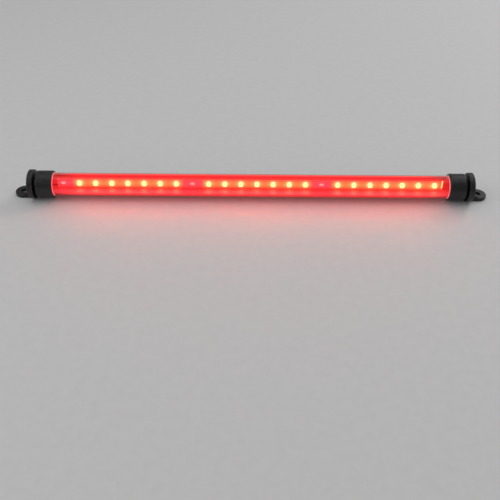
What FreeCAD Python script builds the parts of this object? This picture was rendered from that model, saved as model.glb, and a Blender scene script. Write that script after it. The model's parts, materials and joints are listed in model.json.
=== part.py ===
import FreeCAD, Part
import math
import os

import Sketcher

# Swivelling third brake light, millimetres, +Z up, light thrown towards -Y.
# The origin is on the mounting plane, midway between the two foot holes.
# A clear tube lens is held between two round end caps. Each cap turns on a pivot
# screw in a foot that is fastened to the car, so the lamp tilts about its long axis.

SIZES = {
    # lens
    "lens_length": 304.8,  # clear length between the end caps
    "lens_radius": 8.5,
    "lens_wall": 1.2,
    "fit_gap": 0.15,  # room between pieces that slide into one another
    # end caps, from the inner face outwards
    "cap_wall": 1.85,  # cap around the lens
    "socket_depth": 4.4,  # lens inside the cap
    "seal_thickness": 0.9,
    "shoulder_width": 1.3,
    "chamber_length": 4.4,  # room for the leads between seal and web
    "cap_web": 3.1,
    "cap_rounding": 1.0,
    "insert_radius": 2.8,
    "insert_wall_around": 1.2,
    # pivots
    "pivot_screw_radius": 2.0,
    "pivot_head_radius": 3.7,
    "pivot_head_height": 1.8,
    "head_room": 0.4,
    "hex_radius": 1.45,
    "hex_depth": 1.1,
    "running_clearance": 0.08,
    "running_gap": 0.1,
    "foot_gap": 1.8,  # cap to foot, filled by the friction washer
    "friction_radius": 5.5,
    "spring_washer_radius": 3.3,
    "spring_washer_thickness": 0.5,
    # feet
    "upright_thickness": 4.2,
    "ground_clearance": 0.8,  # cap above the mounting plane
    "lug_radius": 7.0,
    "lug_thickness": 2.7,
    "lug_hole_radius": 2.6,
    "lug_hole_reach": 7.3,  # upright's outer face to the hole's centre
    "rib_thickness": 1.5,
    "foot_rounding": 0.6,
    # carrier inside the lens
    "plate_thickness": 1.1,
    "ledge_thickness": 1.0,
    "lip_thickness": 0.8,
    "port_radius": 1.3,
    "port_rise": 2.9,
    "port_root": 0.45,  # how deep a screw port is sunk into the plate
    # screws that hold the caps on the carrier
    "cap_screw_radius": 0.8,
    "cap_screw_head_radius": 1.6,
    "cap_screw_head_height": 1.1,
    "cap_screw_grip": 6.0,
    "cap_screw_room": 0.1,
    # light board
    "board_length": 298.0,
    "board_height": 8.0,
    "board_thickness": 1.0,
    "board_shift": -0.5,
    "cell_pitch": 12.5,
    "segment_count": 3.0,
    "segment_leds": 7.0,
    "led_width": 3.5,
    "led_depth": 1.6,
    "window_radius": 1.35,
    "window_depth": 0.6,
    "resistor_width": 3.2,
    "resistor_height": 1.6,
    "resistor_depth": 0.6,
    "terminal_width": 1.8,
    "terminal_height": 1.7,
    "terminal_depth": 0.35,
    "terminal_inset": 0.6,
    "terminal_rise": 1.6,
    # inner leads and their gland
    "lead_radius": 0.5,
    "lead_spacing": 0.62,
    "lead_bend": 2.4,
    "gland_radius": 2.1,
    "gland_bore": 1.35,
    "gland_room": 0.15,
    "gland_seat_radius": 3.2,
    "gland_seat_height": 0.7,
    "gland_flange_radius": 2.9,
    "gland_flange_thickness": 1.2,
    "gland_nose_length": 1.6,
    "gland_nose_radius": 2.0,
    # rear cover
    "tape_thickness": 0.4,
    "tape_margin": 12.0,  # degrees, cover beyond the tape on each edge
    "cover_thickness": 1.2,
    "cover_start": 60.0,  # degrees behind the top
    "cover_span": 95.0,
    "cover_end_gap": 0.2,
}

doc = FreeCAD.newDocument("third_brake_light")
sheet = doc.addObject("Spreadsheet::Sheet", "Sizes")
for row, (alias, value) in enumerate(SIZES.items(), start=1):
    sheet.set(f"A{row}", str(value))
    sheet.setAlias(f"A{row}", alias)
doc.recompute()

# Lengths that follow from the sheet, as expressions.
CAP_RADIUS = "(Sizes.lens_radius + Sizes.fit_gap + Sizes.cap_wall)"
SOCKET_RADIUS = "(Sizes.lens_radius + Sizes.fit_gap)"
INNER_RADIUS = "(Sizes.lens_radius - Sizes.lens_wall)"
CARRIER_RADIUS = f"({INNER_RADIUS} - Sizes.fit_gap)"
CHAMBER_RADIUS = f"({INNER_RADIUS} - Sizes.shoulder_width)"
SHOULDER = "(Sizes.socket_depth + Sizes.seal_thickness)"
CAP_LENGTH = f"({SHOULDER} + Sizes.chamber_length + Sizes.cap_web)"
GLAND_PLACE = f"({SHOULDER} + Sizes.gland_radius + Sizes.gland_room)"
INSERT_START = f"({GLAND_PLACE} + Sizes.lead_radius + 2.5 * Sizes.gland_room)"
FOOT_FACE = f"({CAP_LENGTH} + Sizes.foot_gap)"
FOOT_BACK = f"({FOOT_FACE} + Sizes.upright_thickness)"
HEAD_UNDERSIDE = f"({FOOT_BACK} - Sizes.pivot_head_height)"
COUNTERBORE_FLOOR = f"({HEAD_UNDERSIDE} - Sizes.running_gap - Sizes.spring_washer_thickness)"
PIVOT_HEIGHT = f"({CAP_RADIUS} + Sizes.ground_clearance)"
PIVOT_SETBACK = f"({PIVOT_HEIGHT} - Sizes.lug_radius)"
PORT_DEPTH = f"sqrt(({CARRIER_RADIUS} - Sizes.port_radius)^2 - Sizes.port_rise^2)"
PLATE_BACK = f"({PORT_DEPTH} - Sizes.port_radius + Sizes.port_root)"
PLATE_FRONT = f"({PLATE_BACK} - Sizes.plate_thickness)"
BOARD_FACE = f"({PLATE_FRONT} - Sizes.board_thickness)"
LEDGE_TOP = "(-Sizes.board_height / 2)"
LEDGE_UNDERSIDE = f"({LEDGE_TOP} - Sizes.ledge_thickness)"
BOARD_START = "(Sizes.board_shift - Sizes.board_length / 2)"
SEAT_FACE = f"({CAP_RADIUS} + Sizes.gland_seat_height)"

nodes = []


def keep(piece, label):
    """Names a finished sub-part and lists it for writing."""
    piece.Label = label
    nodes.append(piece)
    return piece


def put_on_axis(piece, side=0):
    """Stands a piece on the lamp's axis. On a side, local x runs outwards from the cap's inner face."""
    half_turn = FreeCAD.Rotation(FreeCAD.Vector(0, 1, 0), 180)
    piece.Placement = FreeCAD.Placement(FreeCAD.Vector(), half_turn if side < 0 else FreeCAD.Rotation())
    piece.setExpression("Placement.Base.x", f"{side} * Sizes.lens_length / 2")
    piece.setExpression("Placement.Base.y", f"-{PIVOT_SETBACK}")
    piece.setExpression("Placement.Base.z", PIVOT_HEIGHT)
    return piece


def new_body(name):
    return doc.addObject("PartDesign::Body", name)


def new_sketch(body, role, offset="0"):
    """A sketch on one of the body's own origin planes, moved along its normal by an expression."""
    sketch = body.newObject("Sketcher::SketchObject", body.Name + "_sketch")
    plane = next(item for item in body.Origin.OriginFeatures if item.Role == role)
    sketch.AttachmentSupport = [(plane, "")]
    sketch.MapMode = "FlatFace"
    sketch.setExpression("AttachmentOffset.Base.z", offset)
    return sketch


def bind(sketch, kind, first, first_point, second, second_point, start, expression):
    """A signed distance between two points, driven by an expression."""
    constraint = Sketcher.Constraint(kind, first, first_point, second, second_point, start)
    number = sketch.addConstraint(constraint)
    sketch.setExpression(f"Constraints[{number}]", expression)


def outline(sketch, corners):
    """A closed outline through corners, each a pair of expressions."""
    count = len(corners)
    turn = 2 * math.pi / count
    start = [FreeCAD.Vector(math.cos(i * turn), math.sin(i * turn), 0) for i in range(count)]
    first = sketch.GeometryCount
    for i in range(count):
        sketch.addGeometry(Part.LineSegment(start[i], start[(i + 1) % count]))
    for i in range(count):
        sketch.addConstraint(
            Sketcher.Constraint("Coincident", first + i, 2, first + (i + 1) % count, 1)
        )
    for i, (across, up) in enumerate(corners):
        bind(sketch, "DistanceX", -1, 1, first + i, 1, start[i].x, across)
        bind(sketch, "DistanceY", -1, 1, first + i, 1, start[i].y, up)


def box_outline(sketch, low_x, high_x, low_y, high_y):
    outline(sketch, [(low_x, low_y), (high_x, low_y), (high_x, high_y), (low_x, high_y)])


def ring(sketch, radius, across="0", up="0"):
    """A circle whose radius and centre are expressions."""
    number = sketch.addGeometry(Part.Circle(FreeCAD.Vector(1, 1, 0), FreeCAD.Vector(0, 0, 1), 1))
    bind(sketch, "DistanceX", -1, 1, number, 3, 1.0, across)
    bind(sketch, "DistanceY", -1, 1, number, 3, 1.0, up)
    constraint = sketch.addConstraint(Sketcher.Constraint("Radius", number, 1.0))
    sketch.setExpression(f"Constraints[{constraint}]", radius)


def extrude(body, sketch, kind, length, midplane=False, reverse=False):
    """A Pad or Pocket of the sketch whose length is an expression."""
    feature = body.newObject("PartDesign::" + kind, body.Name + "_" + kind)
    feature.Profile = sketch
    feature.Midplane = midplane
    feature.Reversed = reverse
    feature.setExpression("Length", length)
    doc.recompute()
    return feature


def spin(body, sketch, axis="H_Axis"):
    """Turns the sketch's outline once round one of its own axes."""
    feature = body.newObject("PartDesign::Revolution", body.Name + "_turn")
    feature.Profile = sketch
    feature.ReferenceAxis = (sketch, [axis])
    feature.Angle = 360.0
    doc.recompute()
    return feature


def round_off(body, size, chosen):
    """Rounds the edges of the body's tip that pass the test chosen."""
    doc.recompute()
    tip = body.Tip
    names = [f"Edge{i}" for i, edge in enumerate(tip.Shape.Edges, start=1) if chosen(edge)]
    fillet = body.newObject("PartDesign::Fillet", body.Name + "_rounding")
    fillet.Base = (tip, names)
    fillet.setExpression("Radius", size)
    doc.recompute()
    return fillet


def turned_body(name, profile):
    """A body turned round the local X axis from (x, radius) corners."""
    body = new_body(name)
    sketch = new_sketch(body, "XZ_Plane")
    outline(sketch, profile)
    spin(body, sketch)
    return body


def washer(name, inner, outer, start, end):
    return turned_body(name, [(start, inner), (end, inner), (end, outer), (start, outer)])


def cap_screw_holes(body, sketch, radius):
    """The two carrier screws' circles."""
    for rise in ("Sizes.port_rise", "-Sizes.port_rise"):
        ring(sketch, radius, PORT_DEPTH, rise)


def end_cap(name, with_gland):
    """A cup for the lens end, with a shoulder, a lead chamber and a web that holds the insert."""
    boss_radius = "(Sizes.insert_radius + Sizes.insert_wall_around)"
    web_start = f"({CAP_LENGTH} - Sizes.cap_web)"
    body = turned_body(
        name,
        [
            ("0", SOCKET_RADIUS),
            (SHOULDER, SOCKET_RADIUS),
            (SHOULDER, CHAMBER_RADIUS),
            (web_start, CHAMBER_RADIUS),
            (web_start, boss_radius),
            (INSERT_START, boss_radius),
            (INSERT_START, "Sizes.insert_radius"),
            (CAP_LENGTH, "Sizes.insert_radius"),
            (CAP_LENGTH, CAP_RADIUS),
            ("0", CAP_RADIUS),
        ],
    )
    outer_radius = sheet.lens_radius + sheet.fit_gap + sheet.cap_wall
    round_off(body, "Sizes.cap_rounding", lambda edge: is_circle(edge, outer_radius))
    if with_gland:
        seat = new_sketch(body, "XZ_Plane", f"-({SOCKET_RADIUS} + Sizes.fit_gap)")
        ring(seat, "Sizes.gland_seat_radius", GLAND_PLACE)
        height = f"{SEAT_FACE} - {SOCKET_RADIUS} - Sizes.fit_gap"
        extrude(body, seat, "Pad", height, reverse=True)
        hole = new_sketch(body, "XZ_Plane", f"-{SEAT_FACE}")
        ring(hole, "Sizes.gland_radius", GLAND_PLACE)
        extrude(body, hole, "Pocket", f"{SEAT_FACE} - {CHAMBER_RADIUS} * 0.7", reverse=True)
    holes = new_sketch(body, "YZ_Plane")
    cap_screw_holes(body, holes, "Sizes.cap_screw_radius + Sizes.cap_screw_room")
    extrude(body, holes, "Pocket", CAP_LENGTH, reverse=True)
    heads = new_sketch(body, "YZ_Plane", CAP_LENGTH)
    cap_screw_holes(body, heads, "Sizes.cap_screw_head_radius + Sizes.cap_screw_room")
    extrude(body, heads, "Pocket", "Sizes.cap_screw_head_height")
    return body


def is_circle(edge, radius):
    curve = edge.Curve
    return isinstance(curve, Part.Circle) and abs(curve.Radius - radius) < 1e-6


def pivot_screw(name):
    """Pan head with a hexagon socket, and a shank that ends with the insert."""
    body = turned_body(
        name,
        [
            (INSERT_START, "0"),
            (FOOT_BACK, "0"),
            (FOOT_BACK, "Sizes.pivot_head_radius - Sizes.head_room"),
            (f"{FOOT_BACK} - Sizes.head_room", "Sizes.pivot_head_radius"),
            (HEAD_UNDERSIDE, "Sizes.pivot_head_radius"),
            (HEAD_UNDERSIDE, "Sizes.pivot_screw_radius"),
            (f"{INSERT_START} + Sizes.head_room", "Sizes.pivot_screw_radius"),
            (INSERT_START, "Sizes.pivot_screw_radius - Sizes.head_room"),
        ],
    )
    socket = new_sketch(body, "YZ_Plane", FOOT_BACK)
    corners = []
    for i in range(6):
        angle = 60 * i
        corners.append((f"Sizes.hex_radius * cos({angle} deg)", f"Sizes.hex_radius * sin({angle} deg)"))
    outline(socket, corners)
    extrude(body, socket, "Pocket", "Sizes.hex_depth")
    return body


def lying_cylinder(name, radius, length, x, y="0", z="0"):
    """A cylinder along X from x, its sizes and place all expressions."""
    rod = doc.addObject("Part::Cylinder", name)
    rod.Placement.Rotation = FreeCAD.Rotation(FreeCAD.Vector(0, 1, 0), 90)
    rod.setExpression("Radius", radius)
    rod.setExpression("Height", length)
    rod.setExpression("Placement.Base.x", x)
    rod.setExpression("Placement.Base.y", y)
    rod.setExpression("Placement.Base.z", z)
    return rod


def grouped(name, pieces):
    group = doc.addObject("Part::Compound", name)
    group.Links = pieces
    return group


def cap_screws(name):
    """The two screws that draw a cap against the carrier."""
    start = f"({SHOULDER} - Sizes.cap_screw_grip)"
    head = f"({CAP_LENGTH} - Sizes.cap_screw_head_height)"
    screws = []
    for rise in ("Sizes.port_rise", "-Sizes.port_rise"):
        screw = doc.addObject("Part::Fuse", name + "_screw")
        screw.Base = lying_cylinder(
            name + "_shank", "Sizes.cap_screw_radius", f"{head} - {start}", start, PORT_DEPTH, rise
        )
        screw.Tool = lying_cylinder(
            name + "_crown", "Sizes.cap_screw_head_radius", "Sizes.cap_screw_head_height",
            head, PORT_DEPTH, rise
        )
        screws.append(screw)
    return grouped(name, screws)


def foot():
    """Right foot: a round upright on the pivot and a lug with the mounting hole."""
    body = new_body("right_foot")
    inner = f"(Sizes.lens_length / 2 + {FOOT_FACE})"
    outer = f"(Sizes.lens_length / 2 + {FOOT_BACK})"
    hole_x = f"({outer} + Sizes.lug_hole_reach)"

    disc = new_sketch(body, "YZ_Plane", inner)
    ring(disc, PIVOT_HEIGHT, f"-{PIVOT_SETBACK}", PIVOT_HEIGHT)
    extrude(body, disc, "Pad", "Sizes.upright_thickness")
    heel = new_sketch(body, "YZ_Plane", inner)
    box_outline(heel, f"-{PIVOT_SETBACK}", "Sizes.lug_radius", "0", PIVOT_HEIGHT)
    extrude(body, heel, "Pad", "Sizes.upright_thickness")
    round_off(body, "Sizes.foot_rounding", lambda edge: edge.BoundBox.XLength < 1e-6)

    arm = new_sketch(body, "XY_Plane")
    middle = f"({inner} + Sizes.upright_thickness / 2)"
    box_outline(arm, middle, hole_x, "-Sizes.lug_radius", "Sizes.lug_radius")
    extrude(body, arm, "Pad", "Sizes.lug_thickness")
    eye = new_sketch(body, "XY_Plane")
    ring(eye, "Sizes.lug_radius", hole_x)
    extrude(body, eye, "Pad", "Sizes.lug_thickness")
    round_off(body, "Sizes.foot_rounding", is_lug_rim)

    rib_top = f"({PIVOT_HEIGHT} - Sizes.pivot_head_radius - 2 * Sizes.head_room)"  # below the screw's head
    rib_foot = "(Sizes.lug_thickness - Sizes.fit_gap)"
    sunk = f"({outer} - Sizes.fit_gap)"
    edge = "(Sizes.lug_radius - Sizes.foot_rounding)"
    for rear_face in (edge, f"(Sizes.rib_thickness - {edge})"):
        rib = new_sketch(body, "XZ_Plane", f"-{rear_face}")
        outline(rib, [(sunk, rib_foot), (hole_x, rib_foot), (sunk, rib_top)])
        extrude(body, rib, "Pad", "Sizes.rib_thickness")

    bore = new_sketch(body, "YZ_Plane", outer)
    ring(bore, "Sizes.pivot_screw_radius + Sizes.running_clearance", f"-{PIVOT_SETBACK}", PIVOT_HEIGHT)
    extrude(body, bore, "Pocket", "Sizes.upright_thickness")
    recess = new_sketch(body, "YZ_Plane", outer)
    ring(recess, "Sizes.pivot_head_radius + Sizes.head_room", f"-{PIVOT_SETBACK}", PIVOT_HEIGHT)
    extrude(body, recess, "Pocket", f"{FOOT_BACK} - {COUNTERBORE_FLOOR}")
    hole = new_sketch(body, "XY_Plane", "Sizes.lug_thickness")
    ring(hole, "Sizes.lug_hole_radius", hole_x)
    extrude(body, hole, "Pocket", "Sizes.lug_thickness")
    return body


def is_lug_rim(edge):
    """Upper edges of the lug beyond the upright."""
    box = edge.BoundBox
    face = sheet.lens_length / 2 + sheet.socket_depth + sheet.seal_thickness + sheet.chamber_length
    face = face + sheet.cap_web + sheet.foot_gap + sheet.upright_thickness
    level = abs(box.ZMin - sheet.lug_thickness) < 1e-6 and box.ZLength < 1e-6
    return level and box.XMin > face - sheet.foot_rounding - 1e-6 and box.XLength > 1e-6


def tube(name, outer, inner, length):
    body = new_body(name)
    sketch = new_sketch(body, "YZ_Plane")
    ring(sketch, outer)
    ring(sketch, inner)
    extrude(body, sketch, "Pad", length, midplane=True)
    return body


def carrier():
    """Extrusion that holds the board upright over a ledge, with two screw ports behind."""
    body = new_body("board_carrier")
    length = f"Sizes.lens_length + 2 * {SHOULDER}"
    nose_top = f"-sqrt({CARRIER_RADIUS}^2 - {LEDGE_TOP}^2)"
    nose_low = f"-sqrt({CARRIER_RADIUS}^2 - {LEDGE_UNDERSIDE}^2)"
    board_top = "Sizes.board_height / 2"
    lip_top = "Sizes.board_height / 2 + Sizes.lip_thickness"
    shelf = new_sketch(body, "YZ_Plane")
    outline(
        shelf,
        [
            (nose_low, LEDGE_UNDERSIDE),
            (PLATE_BACK, LEDGE_UNDERSIDE),
            (PLATE_BACK, lip_top),
            (BOARD_FACE, lip_top),
            (BOARD_FACE, board_top),
            (PLATE_FRONT, board_top),
            (PLATE_FRONT, LEDGE_TOP),
            (nose_top, LEDGE_TOP),
        ],
    )
    extrude(body, shelf, "Pad", length, midplane=True)
    for rise in ("Sizes.port_rise", "-Sizes.port_rise"):
        port = new_sketch(body, "YZ_Plane")
        ring(port, "Sizes.port_radius", PORT_DEPTH, rise)
        extrude(body, port, "Pad", length, midplane=True)
    bores = new_sketch(body, "YZ_Plane")
    cap_screw_holes(body, bores, "Sizes.cap_screw_radius")
    extrude(body, bores, "Pocket", length, midplane=True)
    return body


def slab(name, low_x, wide, low_y, deep, low_z, tall):
    """A block given by its low corner and its size, all expressions, on the lamp's axis frame."""
    block = doc.addObject("Part::Box", name)
    block.setExpression("Length", wide)
    block.setExpression("Width", deep)
    block.setExpression("Height", tall)
    block.setExpression("Placement.Base.x", low_x)
    block.setExpression("Placement.Base.y", low_y)
    block.setExpression("Placement.Base.z", low_z)
    return block


def repeated(name, master, shifts):
    """Copies of a master solid along X, as one group of separate solids."""
    doc.recompute()
    group = doc.addObject("Part::Feature", name)
    group.Shape = Part.makeCompound(
        [master.Shape.translated(FreeCAD.Vector(shift, 0, 0)) for shift in shifts]
    )
    return group


def cell_centres(first_cell, cells):
    """X of the given cells' centres in each segment, counted back from the board's right end."""
    segment_cells = int(sheet.segment_leds) + 1
    total = int(sheet.segment_count) * segment_cells
    last = sheet.board_shift + sheet.board_length / 2 - sheet.cell_pitch / 2
    places = []
    for segment_start in range(0, total, segment_cells):
        for cell in range(first_cell, first_cell + cells):
            places.append(last - (total - 1 - segment_start - cell) * sheet.cell_pitch)
    return places


def light_board():
    """The board, its packages, windows, resistors and terminals."""
    half = "Sizes.board_height / 2"
    board = slab("board_block", BOARD_START, "Sizes.board_length", BOARD_FACE,
                 "Sizes.board_thickness", "-" + half, "Sizes.board_height")
    keep(put_on_axis(grouped("board", [board])), "led_board")

    package = slab("package_block", "-Sizes.led_width / 2", "Sizes.led_width",
                   f"{BOARD_FACE} - Sizes.led_depth", "Sizes.led_depth",
                   "-Sizes.led_width / 2", "Sizes.led_width")
    window = doc.addObject("Part::Cylinder", "window_disc")
    window.setExpression("Radius", "Sizes.window_radius")
    window.setExpression("Height", "Sizes.window_depth")
    window.Placement.Rotation = FreeCAD.Rotation(FreeCAD.Vector(1, 0, 0), -90)
    window.setExpression("Placement.Base.y", f"{BOARD_FACE} - Sizes.led_depth")
    cup = doc.addObject("Part::Cut", "package_cup")
    cup.Base = package
    cup.Tool = window
    lamps = cell_centres(1, int(sheet.segment_leds))
    keep(put_on_axis(repeated("packages", cup, lamps)), "led_packages")
    keep(put_on_axis(repeated("windows", window, lamps)), "led_windows")

    resistor = slab("resistor_block", "-Sizes.resistor_width / 2", "Sizes.resistor_width",
                    f"{BOARD_FACE} - Sizes.resistor_depth", "Sizes.resistor_depth",
                    "-Sizes.resistor_height / 2", "Sizes.resistor_height")
    keep(put_on_axis(repeated("resistors", resistor, cell_centres(0, 1))), "ballast_resistors")

    pads = []
    for sign in (1, -1):
        pads.append(
            slab("terminal_block", f"{BOARD_START} + Sizes.terminal_inset", "Sizes.terminal_width",
                 f"{BOARD_FACE} - Sizes.terminal_depth", "Sizes.terminal_depth",
                 f"{sign} * Sizes.terminal_rise - Sizes.terminal_height / 2", "Sizes.terminal_height")
        )
    keep(put_on_axis(grouped("terminals", pads)), "solder_terminals")


def lead(name, sign):
    """One insulated lead: along the board's front, then back to the gland on a tangent arc."""
    inner = sheet.lens_radius - sheet.lens_wall - sheet.fit_gap
    port_depth = math.sqrt((inner - sheet.port_radius) ** 2 - sheet.port_rise ** 2)
    plate_back = port_depth - sheet.port_radius + sheet.port_root
    board_face = plate_back - sheet.plate_thickness - sheet.board_thickness
    front = board_face - sheet.terminal_depth - sheet.lead_radius
    shoulder = sheet.socket_depth + sheet.seal_thickness
    gland_x = -sheet.lens_length / 2 - shoulder - sheet.gland_radius - sheet.gland_room
    start_x = sheet.board_shift - sheet.board_length / 2 + sheet.terminal_inset + sheet.terminal_width
    gland_end = sheet.lens_radius - sheet.lens_wall - sheet.shoulder_width - sheet.gland_room

    start = FreeCAD.Vector(start_x, front, sign * sheet.terminal_rise)
    corner = FreeCAD.Vector(gland_x, front, sign * sheet.lead_spacing)
    end = FreeCAD.Vector(gland_x, gland_end, sign * sheet.lead_spacing)
    along = (corner - start).normalize()
    back = (end - corner).normalize()
    arc_start = corner - along * sheet.lead_bend
    arc_end = corner + back * sheet.lead_bend
    centre = arc_start + back * sheet.lead_bend
    middle = centre + (corner - centre).normalize() * sheet.lead_bend
    path = Part.Wire(
        [
            Part.LineSegment(start, arc_start).toShape(),
            Part.Arc(arc_start, middle, arc_end).toShape(),
            Part.LineSegment(arc_end, end).toShape(),
        ]
    )
    section = Part.Wire([Part.makeCircle(sheet.lead_radius, start, along)])
    wire = doc.addObject("Part::Feature", name)
    wire.Shape = path.makePipeShell([section], True, False)
    return wire


def gland():
    """Rubber gland turned round its own bore, standing in the seat behind the left cap."""
    body = new_body("gland_body")
    inner_end = f"({CHAMBER_RADIUS} - Sizes.gland_room)"
    flange_end = f"({SEAT_FACE} + Sizes.gland_flange_thickness)"
    nose_end = f"({flange_end} + Sizes.gland_nose_length)"
    sketch = new_sketch(body, "XY_Plane")
    outline(
        sketch,
        [
            ("Sizes.gland_bore", inner_end),
            ("Sizes.gland_radius", inner_end),
            ("Sizes.gland_radius", SEAT_FACE),
            ("Sizes.gland_flange_radius", SEAT_FACE),
            ("Sizes.gland_flange_radius", flange_end),
            ("Sizes.gland_nose_radius + Sizes.gland_room", flange_end),
            ("Sizes.gland_nose_radius", nose_end),
            ("Sizes.gland_bore", nose_end),
        ],
    )
    spin(body, sketch, "V_Axis")
    put_on_axis(body)
    body.setExpression("Placement.Base.x", f"-Sizes.lens_length / 2 - {GLAND_PLACE}")
    return body


def shell(name, inner, outer, length, start, span):
    """Part of a tube round the lamp's axis, from an angle behind the top through a span."""
    low_end = f"-({length}) / 2"
    cut = doc.addObject("Part::Cut", name + "_cut")
    cut.Base = lying_cylinder(name + "_outside", outer, length, low_end)
    cut.Base.setExpression("Angle", span)
    cut.Tool = lying_cylinder(name + "_inside", inner, length, low_end)
    group = put_on_axis(grouped(name, [cut]))
    group.Placement.Rotation = FreeCAD.Rotation(FreeCAD.Vector(1, 0, 0), 1)
    group.setExpression("Placement.Rotation.Angle", f"180 - {start} - {span}")
    return group


def write_nodes():
    doc.recompute()
    for item in doc.Objects:
        if "Invalid" in item.State or "Error" in item.State:
            raise RuntimeError(f"{item.Label} failed: {item.State}")
    os.makedirs("parts", exist_ok=True)
    for piece in nodes:
        if piece.Shape.isNull() or not piece.Shape.isValid():
            raise RuntimeError(f"{piece.Label} has no valid shape")
        piece.Shape.exportStep(os.path.join("parts", piece.Label + ".step"))
        print(piece.Label, len(piece.Shape.Solids), round(piece.Shape.Volume, 2))


# Feet, fixed to the car.
right_foot = keep(foot(), "right_foot")
left_foot = doc.addObject("Part::Mirroring", "left_foot_mirror")
left_foot.Source = right_foot
left_foot.Normal = FreeCAD.Vector(1, 0, 0)
keep(left_foot, "left_foot")

# What sits on each pivot, from the lens outwards.
SHANK_HOLE = "(Sizes.pivot_screw_radius + Sizes.running_clearance)"
WASHER_END = f"({COUNTERBORE_FLOOR} + Sizes.spring_washer_thickness)"
for side, hand in ((-1, "left"), (1, "right")):
    seal = washer("seal_" + hand, INNER_RADIUS, SOCKET_RADIUS, "Sizes.socket_depth", SHOULDER)
    insert = washer(
        "insert_" + hand, "Sizes.pivot_screw_radius", "Sizes.insert_radius", INSERT_START, CAP_LENGTH
    )
    friction = washer(
        "friction_" + hand, SHANK_HOLE, "Sizes.friction_radius",
        f"({CAP_LENGTH} + Sizes.running_gap)", FOOT_FACE
    )
    spring = washer(
        "spring_" + hand, SHANK_HOLE, "Sizes.spring_washer_radius", COUNTERBORE_FLOOR, WASHER_END
    )
    keep(put_on_axis(end_cap("cap_" + hand, side < 0), side), hand + "_end_cap")
    keep(put_on_axis(seal, side), hand + "_seal_ring")
    keep(put_on_axis(insert, side), hand + "_thread_insert")
    keep(put_on_axis(friction, side), hand + "_friction_washer")
    keep(put_on_axis(spring, side), hand + "_spring_washer")
    keep(put_on_axis(pivot_screw("pivot_" + hand), side), hand + "_pivot_screw")
    keep(put_on_axis(cap_screws("screws_" + hand), side), hand + "_cap_screws")

# The lamp between the caps.
LENS_TOTAL = "Sizes.lens_length + 2 * Sizes.socket_depth"
keep(put_on_axis(tube("lens", "Sizes.lens_radius", INNER_RADIUS, LENS_TOTAL)), "lens_tube")
keep(put_on_axis(carrier()), "board_carrier")
light_board()
keep(put_on_axis(lead("lead_one", 1)), "positive_lead")
keep(put_on_axis(lead("lead_two", -1)), "negative_lead")
keep(gland(), "cable_gland")

# The cover that keeps the light out of the cabin, and the tape under it.
COVER_RADIUS = "(Sizes.lens_radius + Sizes.tape_thickness)"
COVER_LENGTH = "(Sizes.lens_length - 2 * Sizes.cover_end_gap)"
keep(
    shell("cover_tape", "Sizes.lens_radius", COVER_RADIUS, f"({COVER_LENGTH} - Sizes.tape_margin)",
          "(Sizes.cover_start + Sizes.tape_margin)", "(Sizes.cover_span - 2 * Sizes.tape_margin)"),
    "cover_tape",
)
keep(
    shell("rear_cover", COVER_RADIUS, f"{COVER_RADIUS} + Sizes.cover_thickness", COVER_LENGTH,
          "Sizes.cover_start", "Sizes.cover_span"),
    "rear_cover",
)

write_nodes()
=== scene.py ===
# %% [markdown]
# This script dresses a third brake light, the lamp that sits high in a car's rear window. The frame
# already holds every solid part in its right place and size. What is left for Blender is what a solid
# model lacks: finishes, small details and light. All of it could be modelled here from nothing, but
# then two descriptions of one lamp would have to agree. So the frame is loaded first, and nothing in it
# is moved.

import json
import math

import bmesh
import bpy
import numpy as np
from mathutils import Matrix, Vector


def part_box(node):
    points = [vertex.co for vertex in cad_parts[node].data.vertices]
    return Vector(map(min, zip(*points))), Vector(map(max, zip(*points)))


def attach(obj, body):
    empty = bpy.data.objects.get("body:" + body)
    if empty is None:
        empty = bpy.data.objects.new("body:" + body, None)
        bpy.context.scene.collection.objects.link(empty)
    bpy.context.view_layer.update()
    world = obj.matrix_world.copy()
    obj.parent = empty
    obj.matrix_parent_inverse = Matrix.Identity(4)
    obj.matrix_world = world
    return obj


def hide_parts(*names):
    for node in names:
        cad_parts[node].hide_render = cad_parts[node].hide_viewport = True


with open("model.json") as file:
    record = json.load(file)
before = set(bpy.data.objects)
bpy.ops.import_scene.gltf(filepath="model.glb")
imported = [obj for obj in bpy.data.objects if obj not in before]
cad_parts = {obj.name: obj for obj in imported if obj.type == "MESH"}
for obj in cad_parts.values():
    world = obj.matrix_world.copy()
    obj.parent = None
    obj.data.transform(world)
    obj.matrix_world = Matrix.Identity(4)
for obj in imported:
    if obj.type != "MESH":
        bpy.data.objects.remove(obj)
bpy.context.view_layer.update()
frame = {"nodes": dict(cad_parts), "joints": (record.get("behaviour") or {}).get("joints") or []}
print("nodes:", len(frame["nodes"]))

# %% [markdown]
# The lamp is a clear red tube with a row of small lights inside, two black end caps, and a foot at each
# end. It turns in its feet about one long axis. Places could be typed in as numbers, but they would go
# wrong as soon as a part changed. So they are read from that axis and from the boxes of the parts, in
# metres.

# %% The lamp's axis and main places
MM = 0.001
tilt = frame["joints"][0]
AXIS_Y, AXIS_Z = tilt["pos_m"][1:]


def span(node, axis):
    """Lowest and highest coordinate of a CAD node along one axis (0, 1 or 2)."""
    low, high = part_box(node)
    return low[axis], high[axis]


def half_width(node, axis):
    """Half of a CAD node's width along one axis, which is the radius of a round one."""
    low, high = span(node, axis)
    return (high - low) / 2


LENS_LOW, LENS_HIGH = span("lens_tube", 0)
LENS_RADIUS = half_width("lens_tube", 1)
CAP_FACE, CAP_BACK = span("right_end_cap", 0)
CAP_RADIUS = half_width("right_end_cap", 2)
BOARD_LOW, BOARD_HIGH = span("led_board", 0)
BOARD_FRONT, BOARD_BACK = span("led_board", 1)
BOARD_BOTTOM, BOARD_TOP = span("led_board", 2)
PACKAGE_FRONT = span("led_packages", 1)[0]
print("axis at mm:", round(AXIS_Y / MM, 2), round(AXIS_Z / MM, 2))
print("lens radius mm:", round(LENS_RADIUS / MM, 2), "cap radius mm:", round(CAP_RADIUS / MM, 2))

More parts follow.
